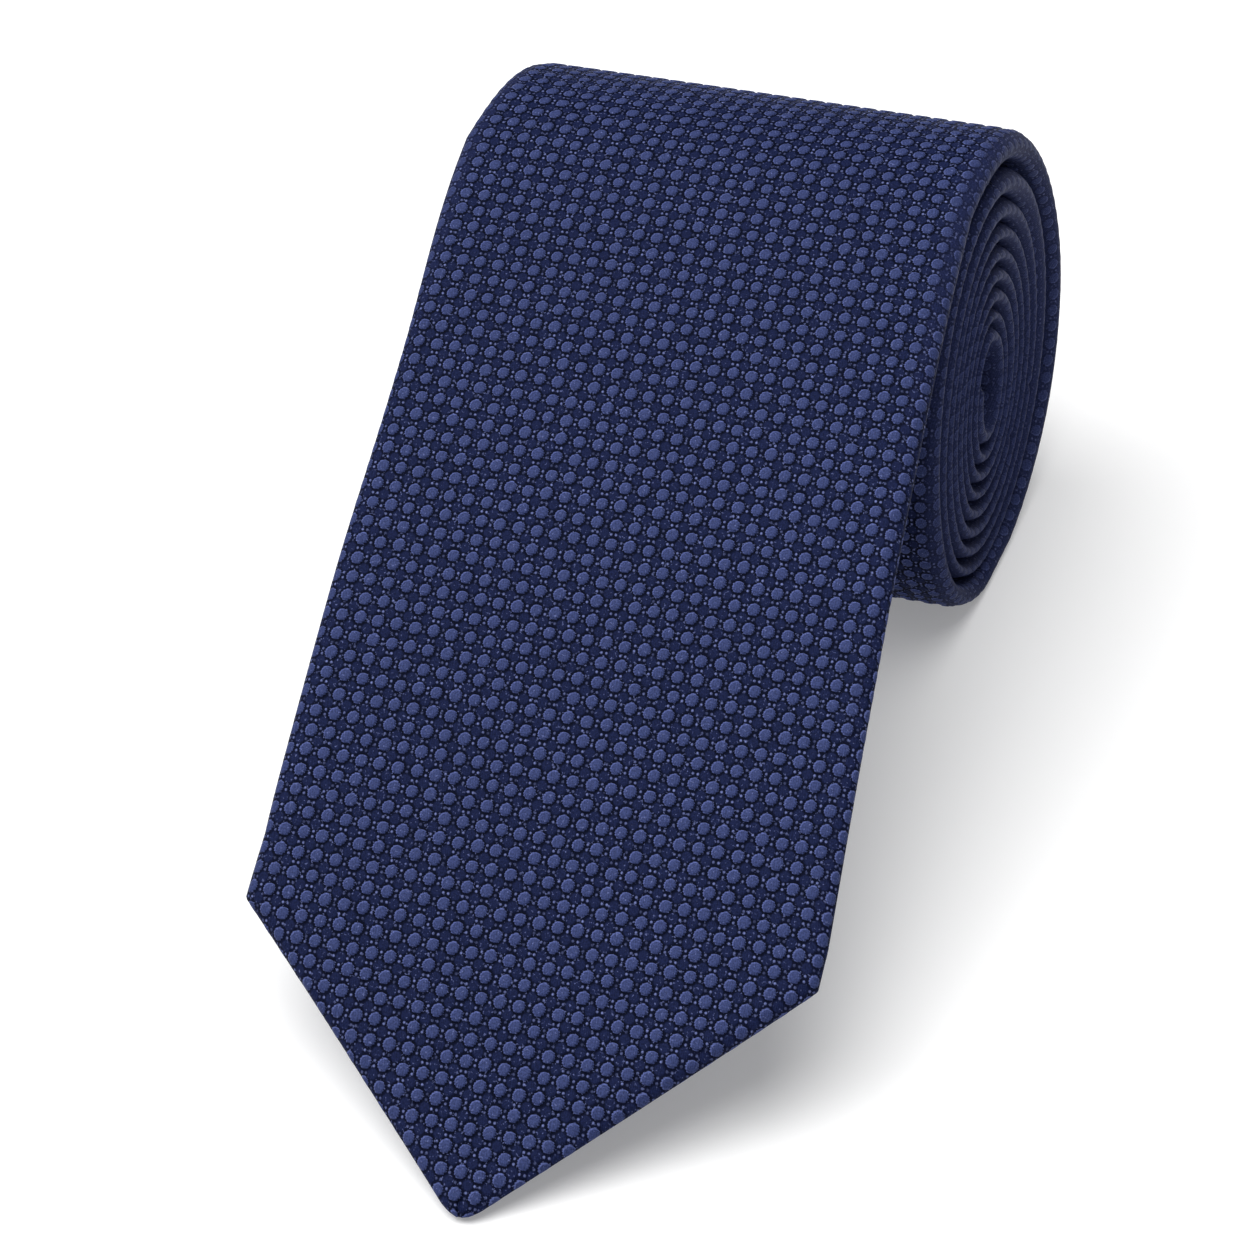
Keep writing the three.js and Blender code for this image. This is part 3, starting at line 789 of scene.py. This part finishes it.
def silk_material():
    """Jacquard silk: blue pebble dots on a dark ground, pairs of bright pick stitches between them."""
    m = Shader("silk", Specular_IOR_Level=0.03)
    u, v, cloth = m.map()
    i, j = m.math("ROUND", u), m.math("ROUND", v)
    du, dv = m.minus(u, i), m.minus(v, j)
    au, av = m.math("ABSOLUTE", du), m.math("ABSOLUTE", dv)

    def square(a, b):
        return m.add(m.times(a, a), m.times(b, b))

    def length(a, b):
        return m.math("SQRT", square(a, b))

    def wander(per_i, per_j, size):
        return m.times(m.math("SINE", m.add(m.times(i, per_i), m.times(j, per_j))), size)

    def dot_from(a, b):
        slant = m.times(m.times(a, b), 2 * DOT_SLANT)
        return m.math("SQRT", m.math("MAXIMUM", m.minus(square(a, b), slant), 0.0))

    # Where each dot lies and how large it is: the same numbers as in weave_height.
    dot_u = m.minus(du, wander(1.7, 4.1, DOT_SHIFT))
    dot_v = m.minus(dv, wander(3.1, -2.3, DOT_SHIFT))
    growth = wander(2.9, 1.3, DOT_GROWTH)
    # Threads make the dots' outlines slightly stepped.
    teeth = m.times(m.wave(v, 8), 0.018)
    dot_at = m.add(dot_from(dot_u, dot_v), m.minus(teeth, growth))
    dot = m.step(dot_at, DOT_RADIUS - 0.025, DOT_RADIUS + 0.02, 1.0, 0.0)
    # Painted highlight: each dot's upper-left crescent, outside a disc shifted to the lower right,
    # takes the lighter highlight colour.
    clear_of_highlight_at = m.minus(dot_from(m.minus(dot_u, 0.045), m.add(dot_v, 0.035)), growth)
    inner = m.step(clear_of_highlight_at, DOT_RADIUS - 0.06, DOT_RADIUS, 1.0, 0.0)
    # Painted shade: the ground next to each dot is darkened, standing for the shade at the foot of the
    # raised dot.
    ring = m.step(dot_at, DOT_RADIUS, DOT_RADIUS + 0.13, 0.45, 1.0)
    # Pairs of picks half way between the dots, and darker patches at the cells' corners.
    half_u, half_v = m.minus(au, 0.5), m.minus(av, 0.5)
    near_u, near_v = m.minus(au, PICK_APART), m.minus(av, PICK_APART)
    pick_at = m.math("MINIMUM", length(half_u, near_v), length(near_u, half_v))
    uneven = m.step(m.noise(cloth, 1.9, 1.0), 0.35, 0.65, 0.25, 1.0)
    pick = m.times(m.step(pick_at, 0.03, PICK_RADIUS + 0.01, 1.0, 0.0), uneven)
    # Painted glints: random specks take the picks' light colour, their height and their gloss.
    glint = m.step(m.noise(cloth, 6.5, 1.0), 0.62, 0.72, 0.0, 0.55)
    pick = m.math("MAXIMUM", pick, glint)
    patch = m.step(length(half_u, half_v), 0.2, 0.32, 1.0, 0.0)
    # Colour.
    colour = m.blend(patch, srgb(*GAP_COLOUR), srgb(*PATCH_COLOUR))
    colour = m.blend(1.0, colour, m.grey(ring), "MULTIPLY")
    colour = m.blend(dot, colour, m.blend(inner, srgb(*DOT_HIGHLIGHT_COLOUR), srgb(*DOT_COLOUR)))
    colour = m.blend(pick, colour, srgb(*PICK_AND_GLINT_COLOUR))
    pressed = m.map("Pressed")[0]
    colour = m.blend(m.times(pressed, 0.85), colour, srgb(*PRESSED_COLOUR))
    # Threads, fibres and a slow drift of the shade.
    ribs = m.wave(m.add(u, m.times(v, 0.35)), 11)
    fibre = m.noise(cloth, 11.0)
    drift = m.noise(m.place(), 18.0, 2.0)
    shade = m.add(m.times(ribs, 0.14), m.step(fibre, 0.3, 0.7, 0.0, 0.6), m.times(drift, 0.24), 0.58)
    colour = m.blend(1.0, colour, m.grey(shade), "MULTIPLY")
    rough = m.minus(m.minus(0.6, m.times(pick, 0.18)), m.times(dot, 0.1))
    height = m.step(dot_at, DOT_RADIUS - 0.08, DOT_RADIUS + 0.03, 1.0, 0.0)
    height = m.add(height, m.times(pick, 0.6), m.times(patch, 0.25))
    height = m.times(height, m.minus(1.0, m.times(pressed, 0.8)))
    height = m.add(height, m.times(ribs, 0.06))
    return m.finish(colour, rough, height, 0.00018, 0.8)


def twill_material(name, colour, dark, lines_per_mm, roughness):
    """Plain woven cloth with fine diagonal lines, from cloth coordinates in millimetres."""
    m = Shader(name, Specular_IOR_Level=0.1)
    u, v, cloth = m.map()
    line = m.wave(m.add(u, v), lines_per_mm)
    cross = m.wave(m.minus(u, v), lines_per_mm * 1.7)
    height = m.add(m.times(line, 0.35), m.times(cross, 0.15))
    share = m.add(height, m.times(m.noise(cloth, 0.6), 0.9), clamp=True)
    return m.finish(m.blend(share, srgb(*dark), srgb(*colour)), roughness, height, 0.00008, 0.6)


def wool_material():
    """Napped interlining."""
    m = Shader("wool", Sheen_Weight=0.3)
    fuzz = m.noise(m.map()[2], 2.2, 8.0)
    colour = m.blend(fuzz, srgb(196, 186, 165), srgb(236, 230, 216))
    return m.finish(colour, 0.95, fuzz, 0.0004, 0.8)


def thread_material():
    """Two-ply thread: cloth coordinates are the share round it and its length in millimetres."""
    m = Shader("thread", Specular_IOR_Level=0.15)
    u, v, _ = m.map()
    ply = m.wave(m.add(m.times(u, 2.0), m.times(v, 1.6)), 1)
    share = m.add(m.times(ply, 0.5), 0.5)
    return m.finish(m.blend(share, srgb(22, 27, 62), srgb(52, 62, 120)), 0.6, ply, 0.00006, 0.8)


def label_material(name, colour, edge):
    """Satin ribbon with a faint cross rib."""
    m = Shader(name, Specular_IOR_Level=0.2)
    u, v, cloth = m.map()
    rib, warp = m.wave(v, 3.2), m.wave(u, 5.0)
    height = m.add(m.times(rib, 0.5), m.times(warp, 0.2))
    share = m.add(m.times(height, 0.3), m.noise(cloth, 0.5), clamp=True)
    return m.finish(m.blend(share, srgb(*edge), srgb(*colour)), 0.42, height, 0.00005, 0.5)


silk = silk_material()
lining = twill_material("lining", (30, 38, 84), (18, 23, 56), 1.6, 0.6)
wool = wool_material()
thread = thread_material()
label_satin = label_material("label_satin", (34, 41, 84), (24, 29, 64))
care_satin = label_material("care_satin", (222, 222, 218), (198, 198, 195))


# ---- Pieces ----

hinge = path.at(FREE_LENGTH)
ahead = path.at(FREE_LENGTH - 1)
run = np.array([ahead[0] - hinge[0], ahead[1] - hinge[1]])
run /= np.hypot(*run)


def dress(piece, look, slot, body, *nodes):
    """Gives a piece its material and its place on the frame. slot is not used."""
    piece.data.materials.append(look)
    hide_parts(*nodes)
    if body == "bend":
        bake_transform(piece)
    else:
        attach(piece, body)
    return piece


def back_at(s):
    """The back face of the tie, out from its front face."""
    return -path.at(s)[4]


def middle_at(s):
    left, right = edges_at(s)
    return (left + right) / 2


def opening_reaches(least, s_from, s_to):
    """Where the opening at the back first comes to least, on the way from s_from to s_to."""
    share = bisect(lambda t: opening_at(mix(s_from, s_to, t)) > least, 0, 1)
    return mix(s_from, s_to, share)


def folded_sheet(piece, flat, area):
    area = min(area, flat[0] * flat[1])
    return piece


def even(count):
    return np.linspace(0, 1, count)


def edge_heavy(count, fine, reach):
    """Shares across the front that crowd together near both edges."""
    side = np.linspace(0, reach, fine + 1)
    return np.concatenate([side[:-1], np.linspace(reach, 1 - reach, count), 1 - side[::-1][1:]])


# Places across the front, and steps round the fold, along the flap and round the hem.
WIDE = (even(int(BLADE_WIDTH / CELL_ACROSS * FRONT_COLS)), (16, 26, 5))
NARROW = (edge_heavy(30, 8, 0.07), (14, 20, 4))
# How flat the sides are pressed, at the start of the free blade and on the roll.
FREE_PRESS = (0.15, 0.75)
OUTER_PRESS = (0.75, 0.75)
INNER_PRESS = (0.9, 0.9)
OUTER_TURN_END = 404.0

free_shell, flat, area = shell(
    "blade_cloth_free", FREE_START, SHELL_SEAM_AT, FREE_ROWS, *WIDE, FREE_PRESS,
    ends=[(FREE_START, END_ROUNDING)],
)
dress(free_shell, silk, "silk", "bend", "blade_shell_free")
folded_sheet(free_shell, flat, area)

OUTER = ("blade_shell_rolled", WIDE, OUTER_PRESS)
INNER = ("blade_shell_rolled", NARROW, INNER_PRESS)
NECK = ("neck_shell", NARROW, INNER_PRESS)
TAIL = ("tail_shell", NARROW, INNER_PRESS)
TAIL_END = [(TIE_LENGTH, END_ROUNDING)]
for name, s_from, s_to, (node, mesh_steps, press), ends, seams in (
    ("blade_cloth_outer_turn", SHELL_SEAM_AT, OUTER_TURN_END, OUTER, (), ()),
    ("blade_cloth_inner_turns", OUTER_TURN_END, BLADE_SEAM_AT, INNER, (), [BLADE_SEAM_AT]),
    ("neck_cloth", BLADE_SEAM_AT, TAIL_SEAM_AT, NECK, (), [BLADE_SEAM_AT, TAIL_SEAM_AT]),
    ("tail_cloth", TAIL_SEAM_AT, TIE_LENGTH, TAIL, TAIL_END, [TAIL_SEAM_AT]),
):
    piece, flat, area = shell(name, s_from, s_to, ROLL_ROWS, *mesh_steps, press, ends, seams)
    dress(piece, silk, "silk", "roll", node)
    folded_sheet(piece, flat, area)


def interlining(name, s_from, s_to, body, node):
    """The filling. It follows the folded silk, lies on its back layers and stays clear of its folds."""
    s = np.arange(s_from, s_to, 1.0)
    left, right = edges_at(s)
    inset = FOLD_REACH * 1.5 + 0.6
    middle = (left + right) / 2
    low = back_at(s) + 2 * HEM_RADIUS + 0.25
    high = np.maximum(low + 0.25, -0.65)
    x_low = np.minimum(left + inset, middle - 0.5)
    x_high = np.maximum(right - inset, middle + 0.5)
    piece = build_mesh(name, [band(s, x_low, x_high, low, high, cols=12)])
    dress(piece, wool, "interlining", body, node)
    return piece


interlining("interlining_front", 6.0, SHELL_SEAM_AT, "bend", "interlining_free")
interlining("interlining_roll", SHELL_SEAM_AT, TIE_LENGTH - 5, "roll", "interlining_rolled")

TACKED = 1.6  # half of the opening where the seam at the back begins and ends
NARROWEST_TIPPING = 1.2  # half of the opening where the tipping ends, in the points
BLADE_TACK = opening_reaches(TACKED, BLADE_MEET_AT, LEFT_SHOULDER)
TAIL_TACK = opening_reaches(TACKED, TIE_LENGTH - TAIL_MEET_AT, TIE_LENGTH - TAIL_POINT)
BLADE_TIPPING_LOW = opening_reaches(NARROWEST_TIPPING, FREE_START, LEFT_SHOULDER)
TAIL_TIPPING_HIGH = opening_reaches(NARROWEST_TIPPING, TIE_LENGTH, TIE_LENGTH - TAIL_POINT)


def tipping(name, s_from, s_to, body, node):
    s = np.arange(s_from, s_to, 0.8)
    reach = opening_at(s) + 3.0
    t = np.linspace(-1, 1, 61)
    x = middle_at(s)[:, None] + reach[:, None] * t[None, :]
    ripple = 0.06 * np.sin(s[:, None] * 0.35 + t[None, :] * 4.0)
    out = back_at(s)[:, None] + TIPPING_DEPTH + ripple
    grid = to_frame(x, out, s[:, None])
    uv = np.stack([x, np.broadcast_to(s[:, None], x.shape)], -1)
    area = grid_area(grid)
    piece = build_mesh(name, [(grid[:, ::-1], uv[:, ::-1], False)])
    dress(piece, lining, "tipping", body, node)
    flat = (2 * reach.max() * MM, (s_to - s_from) * MM)
    return folded_sheet(piece, flat, area)


tipping("blade_lining", BLADE_TIPPING_LOW - 2.0, BLADE_TACK + 1.0, "blade", "blade_tipping")
tipping("tail_lining", TAIL_TACK - 1.0, TAIL_TIPPING_HIGH + 2.0, "roll", "tail_tipping")


def thread_piece(name, runs, body, node, radius=THREAD_RADIUS):
    piece = build_mesh(name, [tube(points, radius) for points in runs])
    return dress(piece, thread, "thread", body, node)


def to_and_fro(s, reach):
    """Places left and right of the middle by turns."""
    return middle_at(s) + np.where(np.arange(len(s)) % 2 == 0, -reach, reach)


def slip_stitch(name, s_from, s_to, body, node):
    """A thread that runs from one folded edge to the other, under the edges' own folds."""
    s = np.arange(s_from, s_to, 1.75)
    line = to_frame(to_and_fro(s, 0.85), back_at(s) + HEM_RADIUS, s)
    count = max(8, int((s_to - s_from) * 2.5))
    return thread_piece(name, [smooth_line(line, count)], body, node)


slip_stitch("slip_stitch_front", BLADE_TACK + 2.2, SHELL_SEAM_AT - 0.2, "bend", "slip_stitch_free")
slip_stitch("slip_stitch_roll", SHELL_SEAM_AT, TAIL_TACK - 2.2, "roll", "slip_stitch_rolled")


def bar_tack(name, at, body, node):
    """A close zigzag over the seam."""
    s = at + np.linspace(-0.9, 0.9, 15)
    line = smooth_line(to_frame(to_and_fro(s, 2.1), back_at(s) - 0.12, s), 150)
    return thread_piece(name, [line], body, node, TACK_RADIUS)


bar_tack("blade_tack", BLADE_TACK + 0.9, "blade", "blade_bar_tack")
bar_tack("tail_tack", TAIL_TACK - 0.9, "roll", "tail_bar_tack")

# One side of the slack loop, from the tack to its far end, and back on the other side.
loop_end = SLACK_LOOP_LENGTH
loop_s = BLADE_TACK - np.array([0.4, 3, 6, 0.6 * loop_end, 0.85 * loop_end, loop_end])
loop_x = np.array([0.4, 1.5, 2.8, SLACK_LOOP_WIDTH / 2, 0.6 * SLACK_LOOP_WIDTH / 2, 0.2])
loop_s = np.concatenate([loop_s, loop_s[::-1]])
loop_x = np.concatenate([-loop_x, loop_x[::-1]])
loop_out = back_at(loop_s) + TIPPING_DEPTH - 0.3
loop_line = smooth_line(to_frame(middle_at(loop_s) + loop_x, loop_out, loop_s), 90)
thread_piece("slack_thread", [loop_line], "blade", "slack_loop")


def dashes(places, length, across=False):
    """Short stitches, along or across the tie, one at each (x, out, s) place."""
    reach = np.linspace(-length / 2, length / 2, 7)
    rise = 0.1 * np.cos(np.linspace(-np.pi / 2, np.pi / 2, 7))
    runs = []
    for x, out, s in places:
        if across:
            runs.append(to_frame(x + reach, out - rise, s))
        else:
            runs.append(to_frame(x, out - rise, s + reach))
    return runs


for node, at in (("blade_neck_seam", BLADE_SEAM_AT), ("neck_tail_seam", TAIL_SEAM_AT)):
    left, right = (float(a) for a in edges_at(at))
    places = [(mix(left + 4, right - 4, share), -0.85, at) for share in even(14)]
    thread_piece(node + "_stitches", dashes(places, 1.5, across=True), "roll", node, FINE_RADIUS)

# Keeper loop: a folded band of the same silk, sewn down at both ends.
loop_rows = np.linspace(LOOP_AT - LOOP_BAND / 2, LOOP_AT + LOOP_BAND / 2, 60)
loop_share = even(180)
arch = LOOP_RISE * smooth(np.minimum(loop_share, 1 - loop_share), 0.05, 0.2)
loop_under = back_at(loop_rows)[:, None] - 0.1 - arch[None, :]
loop_middle = float(middle_at(LOOP_AT))
loop_left, loop_right = loop_middle - LOOP_SPAN / 2, loop_middle + LOOP_SPAN / 2
grid, uv, closed = band(
    loop_rows, loop_left, loop_right, loop_under - 0.9, loop_under, cols=len(loop_share)
)
cells = uv / (CELL_ACROSS, CELL_ALONG)
relief = (weave_height(cells[..., 0], cells[..., 1]) - RELIEF_MIDDLE) * 0.2
grid = grid - grid_normals(grid) * relief[..., None]
keeper = build_mesh("keeper_band", [(grid, cells, closed)], pressed=np.zeros_like(relief))
dress(keeper, silk, "silk", "bend", "keeper_loop")
flat = (LOOP_BAND * MM, (LOOP_SPAN + 4) * MM)


def label(name, at, length, aside, span, out, look, node):
    """A label on the back, this far aside of the middle and out from the back face."""
    middle = float(middle_at(at)) + aside
    s = np.linspace(at - length / 2, at + length / 2, 50)
    top = back_at(s) + out
    low, high = middle - span / 2, middle + span / 2
    piece = build_mesh(name, [band(s, low, high, top - 0.28, top, cols=60, wave=0.05)])
    dress(piece, look, node, "blade", node)
    return piece


label("maker_label", LABEL_AT, LABEL_LENGTH, 0.0, LABEL_SPAN, -0.1, label_satin, "label")
label(
    "fibre_label", CARE_LABEL_AT, CARE_LABEL_LENGTH, CARE_LABEL_SIDE, CARE_LABEL_SPAN,
    TIPPING_DEPTH - 0.12, care_satin, "care_label",
)


def row_along(x, out, at, length, margin, count):
    """Places of the stitches that hold one end of a band."""
    low, high = at - length / 2 + margin, at + length / 2 - margin
    return [(x, out, mix(low, high, share)) for share in even(count)]


for name, hand in (("left", -1), ("right", 1)):
    x = loop_middle + hand * (LOOP_SPAN / 2 - STITCH_INSET)
    row = row_along(x, float(back_at(LOOP_AT)) - 1.12, LOOP_AT, LOOP_BAND, 1.4, 5)
    node = f"keeper_loop_stitch_{name}"
    thread_piece(f"keeper_sewing_{name}", dashes(row, 1.5), "bend", node, TACK_RADIUS)

    x = float(middle_at(LABEL_AT)) + hand * (LABEL_SPAN / 2 - STITCH_INSET)
    row = row_along(x, float(back_at(LABEL_AT)) - 0.48, LABEL_AT, LABEL_LENGTH, 1.3, 8)
    node = f"label_stitch_{name}"
    thread_piece(f"label_sewing_{name}", dashes(row, 1.3), "blade", node, LABEL_THREAD_RADIUS)

    s = np.linspace(LEFT_SHOULDER - 12, BLADE_TACK - 4, 22)
    row = zip(middle_at(s) + hand * (opening_at(s) + 0.9), back_at(s) - 0.08, s)
    node = f"tipping_stitch_{name}"
    thread_piece(f"lining_sewing_{name}", dashes(row, 1.3), "blade", node, FINE_RADIUS)


# ---- Studio ----


def floor_material():
    m = Shader("floor_paper", Specular_IOR_Level=0.1, Emission_Strength=FLOOR_GLOW)
    m.surface.inputs["Emission Color"].default_value = (1, 1, 1, 1)
    grain = m.noise(m.place(), 400.0)
    darker, lighter = ((grey, grey, grey, 1) for grey in FLOOR_GREYS)
    return m.finish(m.blend(grain, darker, lighter), 0.9, grain, 0.00002, 0.2)


spread = np.linspace(-FLOOR_REACH, FLOOR_REACH, 40)
floor_x, floor_y = np.meshgrid(spread, spread)
floor_grid = np.stack([floor_x, floor_y, np.full_like(floor_x, FLOOR_LEVEL)], -1)
floor = build_mesh("floor", [(floor_grid, floor_grid[..., :2], False)])
floor.data.materials.append(floor_material())

world = bpy.data.worlds.new("studio")
world.use_nodes = True
world.node_tree.nodes["Background"].inputs[0].default_value = (1, 1, 1, 1)
world.node_tree.nodes["Background"].inputs[1].default_value = WORLD_LIGHT
bpy.context.scene.world = world


def area_light(name, at, towards, diameter, watts):
    data = bpy.data.lights.new(name, "AREA")
    data.shape = "DISK"
    data.size = diameter
    data.energy = watts
    lamp = make_object(name, data)
    lamp.location = at
    aim = Vector(towards) - Vector(at)
    lamp.rotation_mode = "QUATERNION"
    lamp.rotation_quaternion = aim.to_track_quat("-Z", "Y")


for light in LIGHTS:
    area_light(*light)

azimuth, elevation = math.radians(CAMERA_AZIMUTH), math.radians(CAMERA_ELEVATION)
tilt = math.radians(CAMERA_ROLL)
level = math.cos(elevation)
forward = Vector((-math.sin(azimuth) * level, math.cos(azimuth) * level, -math.sin(elevation)))
right = Vector((math.cos(azimuth), math.sin(azimuth), 0))
up = right.cross(forward)
turned_right = right * math.cos(tilt) + up * math.sin(tilt)
turned_up = up * math.cos(tilt) - right * math.sin(tilt)
camera_data = bpy.data.cameras.new("camera")
camera_data.sensor_width = SENSOR_WIDTH
camera_data.lens = SENSOR_WIDTH * FOCAL_LENGTH / IMAGE_WIDTH
camera_data.clip_start, camera_data.clip_end = 0.01, 20.0
camera = make_object("camera", camera_data)
camera.location = (Vector(CAMERA_TARGET) - forward * CAMERA_DISTANCE) * MM
camera.rotation_mode = "QUATERNION"
axes = Matrix((turned_right, turned_up, -forward)).transposed()
camera.rotation_quaternion = axes.to_quaternion()
bpy.context.scene.camera = camera
bpy.context.scene.view_settings.view_transform = "Standard"
